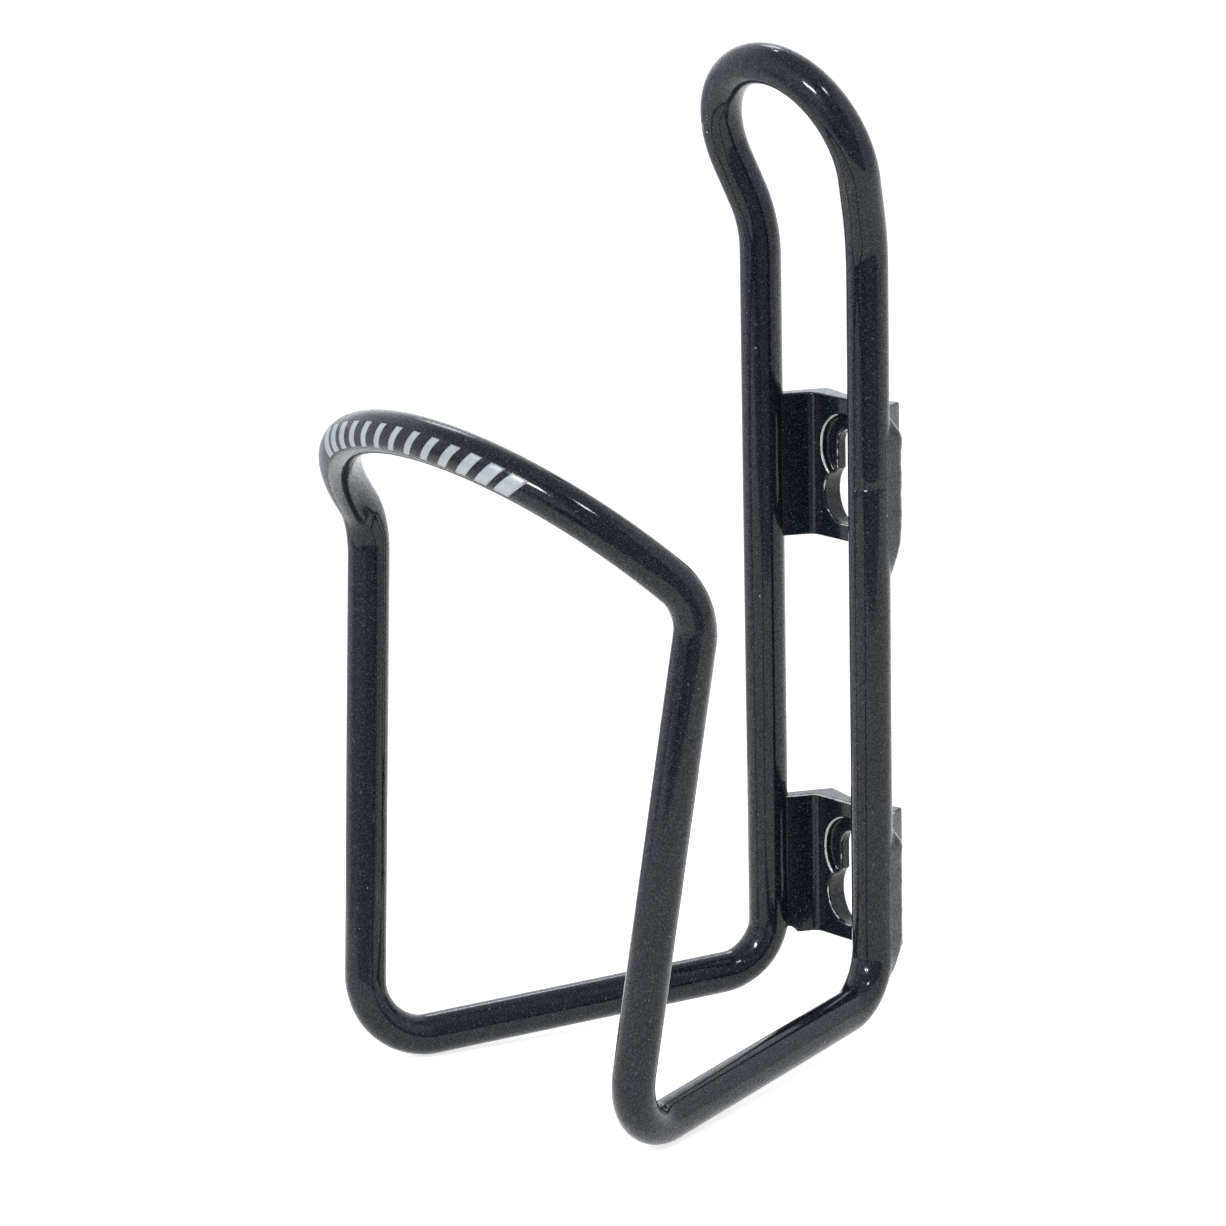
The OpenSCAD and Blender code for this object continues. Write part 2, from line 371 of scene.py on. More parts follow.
def make_floor():
    """A sheet that reaches far behind the cage and ends a little way in front of it and to its left."""
    level = cad_box[0][2] / MM - FLOOR_GAP
    edge = math.radians(FLOOR_EDGE_AZIMUTH)
    middle = (FLOOR_EDGE - FLOOR_R) * np.array([math.sin(edge), -math.cos(edge)])
    rim = []
    for a in np.linspace(0, 2 * math.pi, FLOOR_SIDES, endpoint=False):
        way = np.array([math.cos(a), math.sin(a)])
        reach = way @ middle + math.sqrt((way @ middle) ** 2 + FLOOR_R ** 2 - middle @ middle)
        reach = min(reach, FLOOR_LEFT / max(-way[0], TINY))
        rim.append((*(reach * way * MM), level * MM))
    mesh = bpy.data.meshes.new("floor")
    mesh.from_pydata(rim, [], [list(range(FLOOR_SIDES))])
    mesh.materials.append(floor_material())
    floor = bpy.data.objects.new("floor", mesh)
    bpy.context.scene.collection.objects.link(floor)


def make_surroundings():
    """A white tent lit from all round, darker at its top, where it is open and past the floor's edge,
    with a small soft box high on the bottle side and three weaker ones. The camera sees plain white."""
    world = bpy.data.worlds.new("studio")
    bpy.context.scene.world = world
    world.use_nodes = True
    nodes = Nodes(world.node_tree)
    split = nodes.add("ShaderNodeSeparateXYZ")
    nodes.feed(split.inputs[0], nodes.add("ShaderNodeTexCoord").outputs["Generated"])
    x, y, z = split.outputs
    degrees = 180 / math.pi
    azimuth = nodes.math("MULTIPLY", nodes.math("ARCTAN2", x, nodes.math("MULTIPLY", y, -1.0)), degrees)
    elevation = nodes.math("MULTIPLY", nodes.math("ARCSINE", z), degrees)

    def window(value, low, high, soft):
        rise = nodes.ramp(value, low - soft, low + soft)
        fall = nodes.ramp(value, high - soft, high + soft, 1.0, 0.0)
        return nodes.math("MULTIPLY", rise, fall)

    def panel(azimuths, elevations, soft):
        return nodes.math("MULTIPLY", window(azimuth, *azimuths, soft), window(elevation, *elevations, soft))

    light = nodes.ramp(elevation, *TENT_TURN, TENT_SIDES, TENT_TOP)
    opening = 0.0
    for part in OPENINGS:
        opening = nodes.math("MAXIMUM", opening, panel(*part))
    kept = nodes.math("SUBTRACT", 1.0, nodes.math("MULTIPLY", opening, OPENING_LOSS))
    light = nodes.math("MULTIPLY", light, kept)
    for *part, share in SHADES:
        light = nodes.math("MULTIPLY", light, nodes.ramp(panel(*part), 0.0, 1.0, 1.0, share))
    for *part, added in LAMPS:
        light = nodes.math("ADD", light, nodes.math("MULTIPLY", panel(*part), added))

    background = next(n for n in world.node_tree.nodes if n.type == "BACKGROUND")
    white = nodes.add("ShaderNodeBackground")
    nodes.feed(white.inputs[0], (1, 1, 1, 1))
    nodes.feed(white.inputs[1], BACKDROP)
    nodes.feed(background.inputs[0], TENT_COLOUR)
    nodes.feed(background.inputs[1], light)
    choice = nodes.add("ShaderNodeMixShader")
    output = next(n for n in world.node_tree.nodes if n.type == "OUTPUT_WORLD")
    nodes.feed(choice.inputs[0], nodes.add("ShaderNodeLightPath").outputs["Is Camera Ray"])
    nodes.feed(choice.inputs[1], background.outputs[0])
    nodes.feed(choice.inputs[2], white.outputs[0])
    nodes.feed(output.inputs["Surface"], choice.outputs[0])
    bpy.context.scene.view_settings.view_transform = "Standard"


# ---------------------------------------------------------------- the tube's centre line

upper_low, upper_high = node_box("upper_bracket")
lower_low, lower_high = node_box("lower_bracket")
UPPER_Z = (upper_low[2] + upper_high[2]) / 2
LOWER_Z = (lower_low[2] + lower_high[2]) / 2
MID_Z = (UPPER_Z + LOWER_Z) / 2
BRACKET_H = upper_high[2] - upper_low[2]

TUBE_R = 3.175
BORE_R = 2.175
STAY_X = 12.0
STAY_Y = -8.2
LEAN_HEIGHT = 69.8
LOOP_LEAN = math.radians(19.4)
LOOP_RISE = 13.35
LOOP_R = 14.5
LEAN_BEND_R = 24.4
HEEL_DROP = 48.3
HEEL_R = 8.5
TOE_X = 30.7
TOE_REACH = 66.1
TOE_DROP = 51.7
TOE_R = 9.6
HOOP_REACH = 77.7
HOOP_HEIGHT = 49.9
HOOP_TILT = math.radians(45.7)
HOOP_HALF_ANGLE = math.radians(68.5)
HOOP_R = 38.5
SHOULDER_RUN = 6.35
SHOULDER_R = 9.9

loop_up = np.array([0, -math.sin(LOOP_LEAN), math.cos(LOOP_LEAN)])
hoop_up = np.array([0, -math.cos(HOOP_TILT), math.sin(HOOP_TILT)])
lean_corner = np.array([STAY_X, STAY_Y, MID_Z + LEAN_HEIGHT])
loop_apex = np.array([0, STAY_Y, lean_corner[2]]) + (LOOP_RISE + LOOP_R) * loop_up
loop_turn = math.atan2(STAY_X, -LOOP_RISE) - math.acos(LOOP_R / math.hypot(STAY_X, LOOP_RISE))
loop_corner = loop_apex + LOOP_R * math.tan(loop_turn / 2) * RIGHT
heel = np.array([STAY_X, STAY_Y, MID_Z - HEEL_DROP])
toe = np.array([TOE_X, STAY_Y - TOE_REACH, MID_Z - TOE_DROP])
hoop_apex = np.array([0, STAY_Y - HOOP_REACH, MID_Z + HOOP_HEIGHT])
hoop_fall = math.cos(HOOP_HALF_ANGLE) * RIGHT - math.sin(HOOP_HALF_ANGLE) * hoop_up
hoop_depth = HOOP_R * (1 - math.cos(HOOP_HALF_ANGLE))
hoop_end = hoop_apex + HOOP_R * math.sin(HOOP_HALF_ANGLE) * RIGHT - hoop_depth * hoop_up
shoulder = hoop_end + SHOULDER_RUN * hoop_fall
hoop_corner = hoop_apex + HOOP_R * math.tan(HOOP_HALF_ANGLE / 2) * RIGHT

CORNERS = [loop_apex, loop_corner, lean_corner, heel, toe, shoulder, hoop_corner, hoop_apex]
BENDS = [LOOP_R, LEAN_BEND_R, HEEL_R, TOE_R, SHOULDER_R, HOOP_R]
BEND_STEP = math.radians(2.5)
RUN_STEP = 2.0
FLATTENING = 0.13

# The seam where the tube's ends meet, on the right stay. The line starts and ends SEAM_CLEAR from it.
SEAM_RISE = 0.2
SEAM_Z = UPPER_Z + SEAM_RISE
SEAM_GAP = 0.07
SEAM_RIM = 0.04
SEAM_CLEAR = 1.0
STRAIGHT_DOWN = -0.999


def centre_line():
    """Right half of the centre line, from the loop to the hoop, as rows of point, heading, outward side
    and squeeze. A bend pulls the tube's section in along its outward side."""
    rows = []
    heads = [unit(b - a) for a, b in zip(CORNERS, CORNERS[1:])]
    begin = CORNERS[0]
    for i, radius in enumerate(BENDS, start=1):
        ahead, turned = heads[i - 1], heads[i]
        angle = math.acos(float(ahead @ turned))
        setback = radius * math.tan(angle / 2)
        outward = np.cross(ahead, unit(np.cross(ahead, turned)))
        start = CORNERS[i] - setback * ahead
        steps = int(np.linalg.norm(start - begin) / RUN_STEP)
        rows += [(begin + (start - begin) * k / steps, ahead, outward, 0.0) for k in range(1, steps)]
        centre = start - radius * outward
        steps = math.ceil(angle / BEND_STEP)
        for k in range(steps + 1):
            a = angle * k / steps
            side = outward * math.cos(a) + ahead * math.sin(a)
            head = ahead * math.cos(a) - outward * math.sin(a)
            from_start = math.inf if i == 1 else k
            from_end = math.inf if i == len(BENDS) else steps - k
            ease = min(1.0, min(from_start, from_end) * angle / steps * radius / TUBE_R)
            squeeze = FLATTENING * TUBE_R / radius * ease * ease * (3 - 2 * ease)
            rows.append((centre + radius * side, head, side, squeeze))
        begin = CORNERS[i] + setback * turned
    return rows


def whole_line():
    """The centre line from just under the seam on the right stay, round the cage, to just over the seam."""
    half = centre_line()
    split = next(
        i for i, (p, h, _, _) in enumerate(half)
        if h[2] < STRAIGHT_DOWN and p[2] < SEAM_Z - SEAM_CLEAR
    )
    below = half[split:]
    above = [row for row in half[:split] if row[0][2] > SEAM_Z + SEAM_CLEAR]
    left = [(p * MIRROR_X, -h * MIRROR_X, s * MIRROR_X, f) for p, h, s, f in reversed(half)]
    return below + left[1:-1] + above


# ---------------------------------------------------------------- the tube

SIDES = 64
RIM_STEPS = 4
BORE_SKIP = 2
WIDENING = 0.4


def make_tube(material):
    """One closed skin: the outside, a rounded rim at each end of the seam, and the bore, which takes
    fewer rings. In a bend the section widens by a share of what it is squeezed."""
    line = whole_line()
    seam = np.array([STAY_X, STAY_Y, SEAM_Z])
    first = (seam - SEAM_GAP / 2 * UP, -UP, RIGHT, 0.0)
    last = (seam + SEAM_GAP / 2 * UP, -UP, RIGHT, 0.0)

    def rim(row, inwards):
        """Rings that round the outer edge at one end, from the outside to the end face."""
        turns = [math.pi / 2 * k / RIM_STEPS for k in range(RIM_STEPS + 1)]
        point, head, side, squeeze = row
        return [
            (point + inwards * SEAM_RIM * (1 - math.sin(a)) * head, head, side, squeeze,
             TUBE_R - SEAM_RIM * (1 - math.cos(a)))
            for a in turns
        ]

    outside = [(*row, TUBE_R) for row in line]
    bore = [(*row, BORE_R) for row in line[::BORE_SKIP]]
    rings = rim(first, 1)[::-1] + outside + rim(last, -1)
    rings += [(*last, BORE_R)] + bore[::-1] + [(*first, BORE_R)]

    angles = np.linspace(0, 2 * math.pi, SIDES, endpoint=False)
    points = []
    across = RIGHT
    for point, head, side, squeeze, radius in rings:
        across = unit(across - (across @ head) * head)
        other = np.cross(head, across)
        rays = np.outer(np.cos(angles), across) + np.outer(np.sin(angles), other)
        outwardness = (rays @ side) ** 2
        radii = radius * (1 - squeeze * outwardness + WIDENING * squeeze * (1 - outwardness))
        points.append(point + rays * radii[:, None])
    count = len(rings)
    faces = [
        (i * SIDES + j, ((i + 1) % count) * SIDES + j,
         ((i + 1) % count) * SIDES + (j + 1) % SIDES, i * SIDES + (j + 1) % SIDES)
        for i in range(count) for j in range(SIDES)
    ]
    mesh_object("bent_tube", np.vstack(points), faces, material, "tube")


DROP_AZIMUTH = math.radians(38)
DROP_SIZE = np.array([0.30, 0.09, 0.12])
DROP_SIDES = 16


def make_seam_drop(material):
    """A small drop on the seam, coloured light grey all over as a painted highlight."""
    out = np.array([math.sin(DROP_AZIMUTH), -math.cos(DROP_AZIMUTH), 0.0])
    level = np.array([math.cos(DROP_AZIMUTH), math.sin(DROP_AZIMUTH), 0.0])
    centre = np.array([STAY_X, STAY_Y, SEAM_Z]) + TUBE_R * out
    points = [centre - DROP_SIZE[2] * UP, centre + DROP_SIZE[2] * UP]
    rings = DROP_SIDES // 2
    for i in range(1, rings):
        rise = -math.cos(math.pi * i / rings)
        wide = math.sin(math.pi * i / rings)
        for j in range(DROP_SIDES):
            a = 2 * math.pi * j / DROP_SIDES
            shape = DROP_SIZE * [wide * math.cos(a), wide * math.sin(a), rise]
            points.append(centre + shape[0] * level + shape[1] * out + shape[2] * UP)
    last = 2 + (rings - 2) * DROP_SIDES
    faces = []
    for j in range(DROP_SIDES):
        k = (j + 1) % DROP_SIDES
        faces += [(0, 2 + j, 2 + k), (1, last + k, last + j)]
        for start in range(2, last, DROP_SIDES):
            faces.append((start + j, start + DROP_SIDES + j, start + DROP_SIDES + k, start + k))
    piece = mesh_object("seam_paint_drop", points, faces, material, "tube")
    # The whole drop takes the full light grey painted highlight.
    set_painted_highlight(piece, np.ones(len(points)))


# ---------------------------------------------------------------- shapes as distance fields

def larger(a, b, round_by):
    """The larger of two fields, with the edge where they cross rounded off."""
    h = np.maximum(round_by - np.abs(a - b), 0) / round_by
    return np.maximum(a, b) + h * h * round_by / 4


def smaller(a, b, round_by):
    """The smaller of two fields, with the crease where they cross filled in."""
    return -larger(-a, -b, round_by)


def outline_distance(x, y, outline):
    """Signed distance from points to a closed outline, negative inside."""
    ends = np.roll(outline, -1, axis=0)
    nearest = np.full(x.shape, np.inf)
    inside = np.zeros(x.shape, bool)
    for (ax, ay), (bx, by) in zip(outline, ends):
        ex, ey = bx - ax, by - ay
        t = np.clip(((x - ax) * ex + (y - ay) * ey) / (ex * ex + ey * ey), 0, 1)
        nearest = np.minimum(nearest, (x - ax - t * ex) ** 2 + (y - ay - t * ey) ** 2)
        crosses = (ay > y) != (by > y)
        if ay != by:
            inside ^= crosses & (x < ax + (y - ay) / (by - ay) * ex)
    return np.where(inside, -1, 1) * np.sqrt(nearest)


def slot_distance(x, z, radius, low, high):
    """Signed distance to an upright slot with round ends centred at two heights."""
    return np.hypot(x, z - np.clip(z, low, high)) - radius


PROBES_PER_STEP = 20
SETTLING = 3
LEAST_SLOPE = 0.05


def skin(field, low, high, step):
    """Points and faces of the surface where a field is zero, inside a box: one point in each grid cell
    that the surface crosses, moved onto the surface."""
    axes = [np.arange(a, b + step, step) for a, b in zip(low, high)]
    grid = np.meshgrid(*axes, indexing="ij")
    values = field(*grid)
    inside = values < 0
    shape = tuple(n - 1 for n in values.shape)
    total = np.zeros((*shape, 3))
    count = np.zeros(shape)
    for axis in range(3):
        u, v = [k for k in range(3) if k != axis]
        for du in (0, 1):
            for dv in (0, 1):
                start = [slice(None)] * 3
                start[axis] = slice(0, -1)
                start[u] = slice(du, values.shape[u] - 1 + du)
                start[v] = slice(dv, values.shape[v] - 1 + dv)
                end = list(start)
                end[axis] = slice(1, None)
                a, b = values[tuple(start)], values[tuple(end)]
                cut = (a < 0) != (b < 0)
                where = np.where(cut, a / np.where(cut, a - b, 1), 0)
                total[..., axis] += where
                total[..., u] += cut * du
                total[..., v] += cut * dv
                count += cut
    used = count > 0
    number = np.full(shape, -1)
    number[used] = np.arange(used.sum())
    cells = np.argwhere(used)
    points = np.array(low) + step * (cells + total[used] / count[used][:, None])

    faces = []
    for axis in range(3):
        u, v = (axis + 1) % 3, (axis + 2) % 3
        first = [slice(1, -1)] * 3
        first[axis] = slice(0, -1)
        second = list(first)
        second[axis] = slice(1, None)
        a, b = inside[tuple(first)], inside[tuple(second)]
        for flip, crossed in ((False, a & ~b), (True, ~a & b)):
            place = np.argwhere(crossed) + [0 if k == axis else 1 for k in range(3)]
            corners = []
            for du, dv in ((0, 0), (1, 0), (1, 1), (0, 1)):
                cell = place.copy()
                cell[:, u] -= 1 - du
                cell[:, v] -= 1 - dv
                corners.append(number[tuple(cell.T)])
            quads = np.stack(corners, 1)
            faces.append(quads[:, ::-1] if flip else quads)
    faces = np.vstack(faces)

    reach = step / PROBES_PER_STEP
    for _ in range(SETTLING):
        here = field(*points.T)
        slope = np.stack([
            (field(*(points + reach * e).T) - field(*(points - reach * e).T)) / (2 * reach)
            for e in np.eye(3)
        ], 1)
        move = -here[:, None] * slope / np.maximum((slope ** 2).sum(1), LEAST_SLOPE)[:, None]
        points += np.clip(move, -step / 2, step / 2)
    return points, faces.tolist()


# ---------------------------------------------------------------- brackets

PLATE_T = 2.4
RIDGE = np.array([8.0, 2.0])
RIDGE_R = 0.5
ROOT_R = 1.5
FRONT_HALF = 7.0
FRONT_BEND_R = 1.4
FLANK_REAR = np.array([STAY_X - 0.2, STAY_Y + 1.5])
FLANK_FRONT = np.array([STAY_X - 2.6, STAY_Y + 1.0])
ENTRY_R = 4.5
ENTRY_DROP = 4.05
SLOT_R = 2.65
RECESS_R = 5.0
RECESS_DEPTH = 1.2
RECESS_LOW = 2.8
SEAT_RISE = 3.5
RIM_ROUND = 0.35
HOLE_ROUND = 0.4
FILLET = 0.5
STEP = 0.19
MARGIN_STEPS = 3
SIDE_GAP = 0.1

# Direction, across the plate, that the right flank faces.
FLANK_OUT = np.array([0.917, 0.400])

# Where a light grey highlight is painted: a short way inside an edge (the first number). On the seat's rim
# it fades across the middle, and on the slot's and the entry hole's rims it is weaker.
HIGHLIGHT_INSET = 0.1
HIGHLIGHT_WIDTH = 0.24
HIGHLIGHT_FADE = 2.0
RIM_HIGHLIGHT = 0.62
TOP_HIGHLIGHT_WIDTH = 0.2
TOP_HIGHLIGHT_Y = -0.5

# A small notch in the bottom edge of the lower plate's left flank.
NOTCH = np.array([-9.3, -6.9])
NOTCH_W = 1.7
NOTCH_H = 1.1
NOTCH_ROUND = 0.2


def rounded(a, b, c, radius, steps=8):
    """Points of an arc that rounds the corner b of an outline a, b, c."""
    to_a, to_c = unit(a - b), unit(c - b)
    half = math.acos(float(to_a @ to_c)) / 2
    middle = b + radius / math.sin(half) * unit(to_a + to_c)
    first = b + radius / math.tan(half) * to_a - middle
    last = b + radius / math.tan(half) * to_c - middle
    start = math.atan2(first[1], first[0])
    sweep = math.atan2(first[0] * last[1] - first[1] * last[0], float(first @ last))
    turns = [start + sweep * k / steps for k in range(steps + 1)]
    return [middle + radius * np.array([math.cos(t), math.sin(t)]) for t in turns]


def plate_outline():
    """Section of a plate, seen from above, from the groove's root round to the right, front and left."""
    front_corner = np.array([FRONT_HALF, -PLATE_T])
    flip = np.array([-1, 1])
    root = rounded(RIDGE * flip, np.zeros(2), RIDGE, ROOT_R)
    right = (
        rounded(np.zeros(2), RIDGE, FLANK_REAR, RIDGE_R)
        + [FLANK_REAR, FLANK_FRONT]
        + rounded(FLANK_FRONT, front_corner, front_corner - [1, 0], FRONT_BEND_R)
    )
    return np.array(root + right + [p * flip for p in reversed(right)])


def plate_field(centre_z):
    """Distance field of one bracket plate, with rounded rims and the keyhole."""
    outline = plate_outline()

    def field(x, y, z):
        rise = z - centre_z
        side = outline_distance(x, y, outline) + RIM_ROUND
        end = np.abs(rise) - BRACKET_H / 2 + RIM_ROUND
        plate = np.minimum(np.maximum(side, end), 0) + np.hypot(np.maximum(side, 0), np.maximum(end, 0))
        plate -= RIM_ROUND
        entry = np.hypot(x, rise + ENTRY_DROP) - ENTRY_R
        slot = slot_distance(x, rise, SLOT_R, -ENTRY_DROP, SEAT_RISE)
        plate = larger(plate, -np.minimum(entry, slot), HOLE_ROUND)
        seat = slot_distance(x, rise, RECESS_R, RECESS_LOW, SEAT_RISE)
        recess = larger(seat, y + PLATE_T - RECESS_DEPTH, FILLET)
        plate = larger(plate, -recess, HOLE_ROUND)
        if centre_z < 0:
            along = (x - NOTCH[0]) * FLANK_OUT[1] + (y - NOTCH[1]) * FLANK_OUT[0]
            cut = (np.hypot(along / NOTCH_W, (rise + BRACKET_H / 2) / NOTCH_H) - 1) * NOTCH_H
            plate = larger(plate, -np.maximum(cut, x), NOTCH_ROUND)
        stay = np.hypot(np.abs(x) - STAY_X, y - STAY_Y) - TUBE_R
        return np.maximum(plate, -stay - SIDE_GAP)

    return field


def painted_highlight_edges(points, centre_z):
    """How strongly a light grey highlight is painted at each point of a plate, along the rims of its keyhole
    and along the lower plate's top front edge."""
    x, y, rise = points[:, 0], points[:, 1], points[:, 2] - centre_z

    def near(outline, depth):
        return np.exp(-((outline - HIGHLIGHT_INSET) ** 2 + (y + PLATE_T - depth - HIGHLIGHT_INSET) ** 2) / HIGHLIGHT_WIDTH ** 2)

    leftwards = np.clip((HIGHLIGHT_FADE - x) / (2 * HIGHLIGHT_FADE), 0, 1)
    seat = near(slot_distance(x, rise, RECESS_R, RECESS_LOW, SEAT_RISE), 0) * leftwards
    slot = near(slot_distance(x, rise, SLOT_R, -ENTRY_DROP, SEAT_RISE), RECESS_DEPTH)
    entry = near(np.hypot(x, rise + ENTRY_DROP) - ENTRY_R, 0)
    front = outline_distance(x, y, plate_outline()) + HIGHLIGHT_INSET
    top = np.exp(-(front ** 2 + (rise - BRACKET_H / 2 + HIGHLIGHT_INSET) ** 2) / TOP_HIGHLIGHT_WIDTH ** 2)
    top = np.where((y < TOP_HIGHLIGHT_Y) & (centre_z < 0), top, 0)
    return np.maximum.reduce([seat, RIM_HIGHLIGHT * slot, RIM_HIGHLIGHT * entry, top])


def make_bracket(level, centre_z, material):
    node = f"{level}_bracket"
    low, high = node_box(node)
    margin = MARGIN_STEPS * STEP
    points, faces = skin(plate_field(centre_z), low - margin, high + margin, STEP)
    piece = mesh_object(f"{node}_plate", points, faces, material, node)
    # Painted highlights along the keyhole's rims and the lower plate's top front edge.
    set_painted_highlight(piece, painted_highlight_edges(points, centre_z))


# ---------------------------------------------------------------- weld beads

# Section of a bead: a circle of radius BEAD_R, BEAD_AWAY from the stay's centre across and behind, in
# one hull with a circle round the stay. At its tips it is thinner and draws in to the stay.
BEAD_AWAY = np.array([0.06, 3.47])
BEAD_R = 2.35
ROOT_BEAD_R = TUBE_R + 0.012
THIN = 0.08
LEAST_AWAY = 0.2
MOST_LEAN = 0.9
LOWER_BEAD = 0.93
FRONT_EDGE = 0.4

# How far a bead runs past its plate's bottom and top, and the lengths of its tips.
RIGHT_BELOW, RIGHT_ABOVE = 3.7, 1.4
LEFT_BELOW, LEFT_ABOVE = -0.6, -0.6
LOW_TIP = 9.0
HIGH_TIP = 6.0
TIP_ROUND = 0.4

# Lumps along a bead, from two waves, and one larger lump near its top.
LUMP = 0.04
LUMP_PITCH = 5.2
RIPPLE_SHARE = 0.5
RIPPLE_RATE = 2.9
NUGGET = 0.22
NUGGET_DROP = 4.6
NUGGET_HALF = 1.5

# How a bead flows onto the stay and the plate, and how far it reaches into them and past its section.
STAY_MENISCUS = 0.1
MENISCUS = 0.8
SUNK = 0.04
SPREAD = 0.5
INTO_PLATE = 0.5
INTO_STAY = 0.6

BEAD_STEP = 0.19
BEAD_ROOM_LOW = np.array([1.0, 6.0, 3.0])
BEAD_ROOM_HIGH = np.array([1.0, 1.0, 3.0])

# The heel bend starts at HEEL_TOP and turns the stay's line into the arm's.
ARM_WAY = unit((toe - heel)[:2])
ARM_DROP = math.atan2(-(toe - heel)[2], np.linalg.norm((toe - heel)[:2]))
HEEL_TOP = heel[2] + HEEL_R * math.tan((math.pi / 2 - ARM_DROP) / 2)


def from_stay(x, y, z):
    """Place across and behind the right stay's centre line, following the line round the heel bend."""
    across, behind = x - STAY_X, y - STAY_Y
    ahead = across * ARM_WAY[0] + behind * ARM_WAY[1]
    beside = across * ARM_WAY[1] - behind * ARM_WAY[0]
    turned = HEEL_R - np.hypot(HEEL_R - ahead, z - HEEL_TOP)
    ahead = np.where(z < HEEL_TOP, turned, ahead)
    return ahead * ARM_WAY[0] + beside * ARM_WAY[1], ahead * ARM_WAY[1] - beside * ARM_WAY[0]


def bead_field(centre_z, sign):
    """Distance field of one bead: its section is drawn tight round the stay and a circle in the corner
    behind it, which draws in to the stay at both ends. It flows onto the plate."""
    plate = plate_field(centre_z)
    below, above = (RIGHT_BELOW, RIGHT_ABOVE) if sign > 0 else (LEFT_BELOW, LEFT_ABOVE)
    low = centre_z - BRACKET_H / 2 - below
    high = centre_z + BRACKET_H / 2 + above
    size = 1.0 if centre_z > 0 else LOWER_BEAD
    length = size * np.linalg.norm(BEAD_AWAY)
    away = unit(BEAD_AWAY)

    def field(x, y, z):
        across, behind = from_stay(sign * x, y, z)
        stay = np.hypot(across, behind) - TUBE_R
        rising = np.clip((z - low) / LOW_TIP, 0, 1)
        falling = np.clip((high - z) / HIGH_TIP, 0, 1)
        tip = (1 - (1 - rising) ** 2) * falling ** 2 * (3 - 2 * falling)
        ripple = RIPPLE_SHARE * np.sin(z * RIPPLE_RATE + centre_z)
        lump = LUMP * (np.sin(2 * math.pi * z / LUMP_PITCH + sign) + ripple)
        lump = lump + NUGGET * np.exp(-((high - NUGGET_DROP - z) / NUGGET_HALF) ** 2)
        reach = length * (LEAST_AWAY + (1 - LEAST_AWAY) * tip)
        root = ROOT_BEAD_R * (1 - THIN * (1 - tip))
        end = (size * BEAD_R + lump * tip) * (1 - THIN * (1 - tip))
        along = across * away[0] + behind * away[1]
        aside = np.abs(across * away[1] - behind * away[0])
        lean = np.clip((root - end) / reach, -MOST_LEAN, MOST_LEAN)
        level = np.sqrt(1 - lean ** 2)
        part = along * level - aside * lean
        past_end = np.hypot(aside, along - reach) - end
        between = aside * level + along * lean - root
        bar = np.where(part > level * reach, past_end, between)
        bar = np.where(part < 0, np.hypot(aside, along) - root, bar)
        bar = larger(bar, np.maximum(low - z, z - high), TIP_ROUND)
        whole = smaller(smaller(bar, stay + SUNK, STAY_MENISCUS), plate(x, y, z) + SUNK, MENISCUS)
        whole = np.maximum(np.maximum(whole, bar - SPREAD), FRONT_EDGE - behind)
        rear = (sign * x - FLANK_REAR[0]) * FLANK_OUT[0] + (y - FLANK_REAR[1]) * FLANK_OUT[1]
        return np.maximum(np.maximum(whole, -rear - INTO_PLATE), -stay - INTO_STAY)

    return field


def make_bead(level, side, centre_z, material):
    node = f"{level}_{side}_weld"
    sign = 1 if side == "right" else -1
    low, high = node_box(node)
    points, faces = skin(bead_field(centre_z, sign), low - BEAD_ROOM_LOW, high + BEAD_ROOM_HIGH, BEAD_STEP)
    mesh_object(f"{node}_bead", points, faces, material, node)


# ---------------------------------------------------------------- printed mark

PRINT_HALF_ANGLE = 33.0
PRINT_HALF_WIDTH = 36.0
INK_LIFT = 0.03
INK_SUNK = 0.03
SLANT = 1.6
BARS = 6
THIN_BAR = 0.9
WIDE_BAR = 1.9
STEPS_ALONG = 6
STEPS_ACROSS = 12


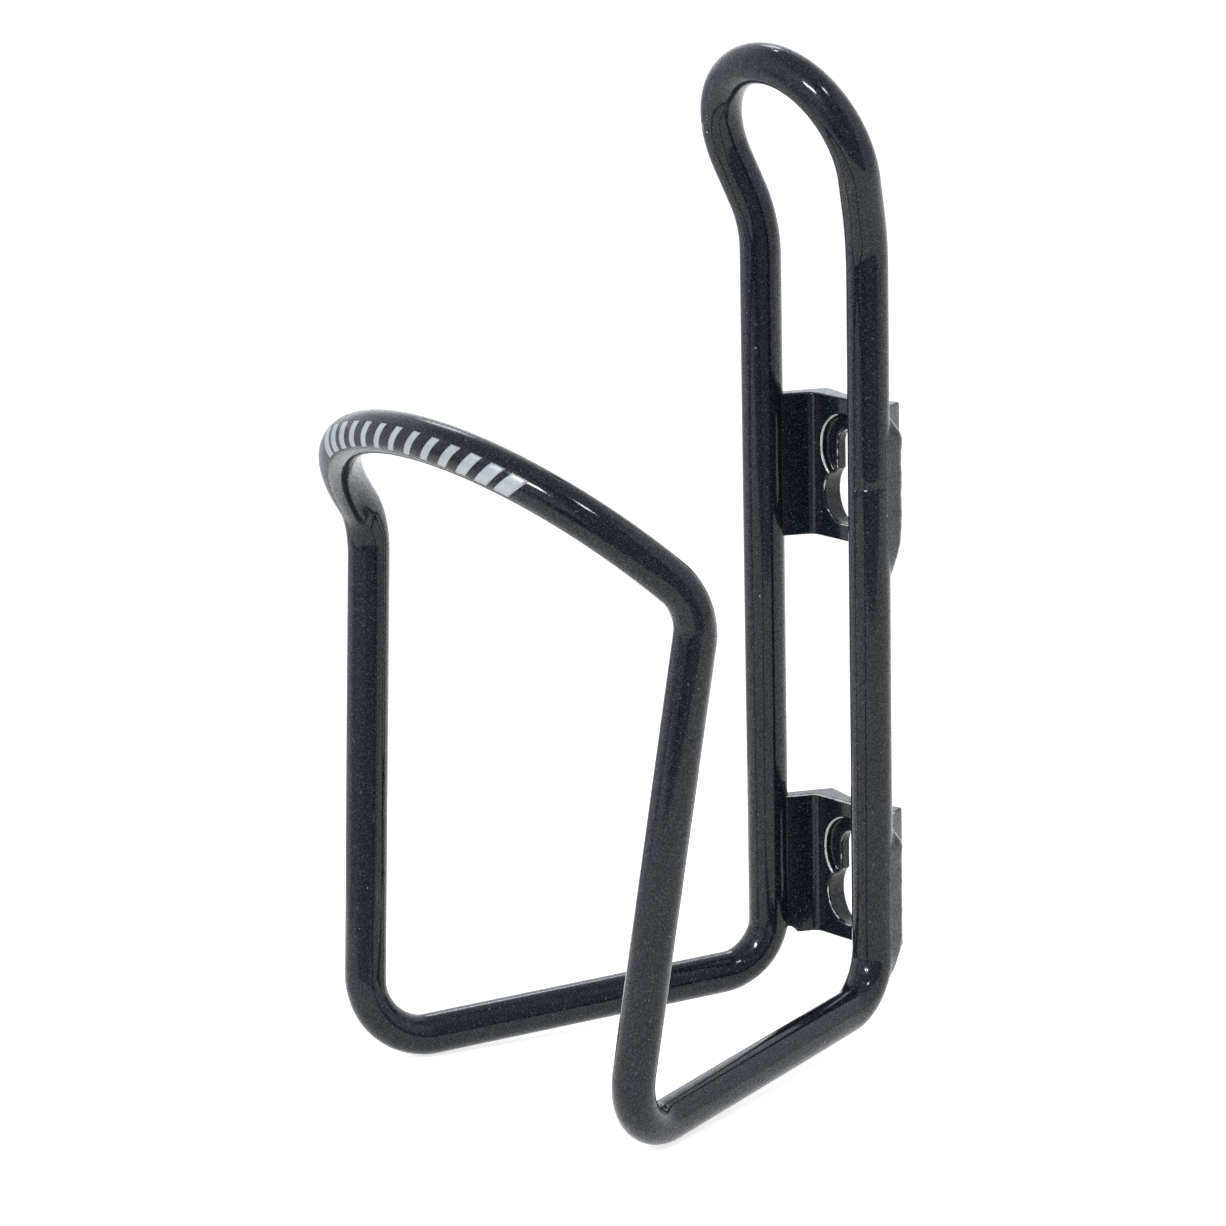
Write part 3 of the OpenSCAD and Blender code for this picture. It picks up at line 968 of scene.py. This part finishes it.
def on_hoop(along, width, lift):
    """A point on the hoop's tube: along in degrees round the hoop, width in degrees round the tube,
    both from the middle of the front."""
    a, w = math.radians(along), math.radians(width)
    out = math.sin(a) * RIGHT + math.cos(a) * hoop_up
    under = np.cross(RIGHT, hoop_up)
    facing = HOOP_TILT + w
    centre = hoop_apex - HOOP_R * hoop_up + HOOP_R * out
    return centre + (TUBE_R + lift) * (math.cos(facing) * out + math.sin(facing) * under)


def bar_shape(middle, half):
    """A thin closed patch on the hoop: one slanted bar, given by its middle and half its width in degrees
    round the hoop."""
    points, faces = [], []
    for lift in (-INK_SUNK, INK_LIFT):
        for i in range(STEPS_ALONG + 1):
            for j in range(STEPS_ACROSS + 1):
                along = half * (2 * i / STEPS_ALONG - 1)
                across = 2 * j / STEPS_ACROSS - 1
                points.append(on_hoop(middle + along - SLANT * across, PRINT_HALF_WIDTH * across, lift))
    row = STEPS_ACROSS + 1
    layer = (STEPS_ALONG + 1) * row

    def quad(a, b, c, d, flip):
        faces.append((d, c, b, a) if flip else (a, b, c, d))

    for i in range(STEPS_ALONG):
        for j in range(STEPS_ACROSS):
            a = i * row + j
            quad(a, a + 1, a + row + 1, a + row, True)
            quad(layer + a, layer + a + 1, layer + a + row + 1, layer + a + row, False)
    for i in range(STEPS_ALONG):
        a, b = i * row, i * row + STEPS_ACROSS
        quad(a, a + row, layer + a + row, layer + a, True)
        quad(b, b + row, layer + b + row, layer + b, False)
    for j in range(STEPS_ACROSS):
        a, b = j, STEPS_ALONG * row + j
        quad(a, a + 1, layer + a + 1, layer + a, False)
        quad(b, b + 1, layer + b + 1, layer + b, True)
    return points, faces


def make_print(material):
    """A plain row of slanted bars that get wider towards both ends."""
    points, faces = [], []
    for k in range(-BARS, BARS + 1):
        middle = k * (PRINT_HALF_ANGLE - WIDE_BAR) / BARS
        half = THIN_BAR + (WIDE_BAR - THIN_BAR) * (k / BARS) ** 2
        more, quads = bar_shape(middle, half)
        faces += [[len(points) + n for n in quad] for quad in quads]
        points += more
    mesh_object("hoop_stripes", points, faces, material, "hoop_print")


# ---------------------------------------------------------------- the scene

make_camera()
make_floor()
make_surroundings()
paint = paint_material()
make_tube(paint)
make_seam_drop(paint)
for level, centre_z in (("upper", UPPER_Z), ("lower", LOWER_Z)):
    make_bracket(level, centre_z, paint)
    for side in ("left", "right"):
        make_bead(level, side, centre_z, paint)
make_print(ink_material())
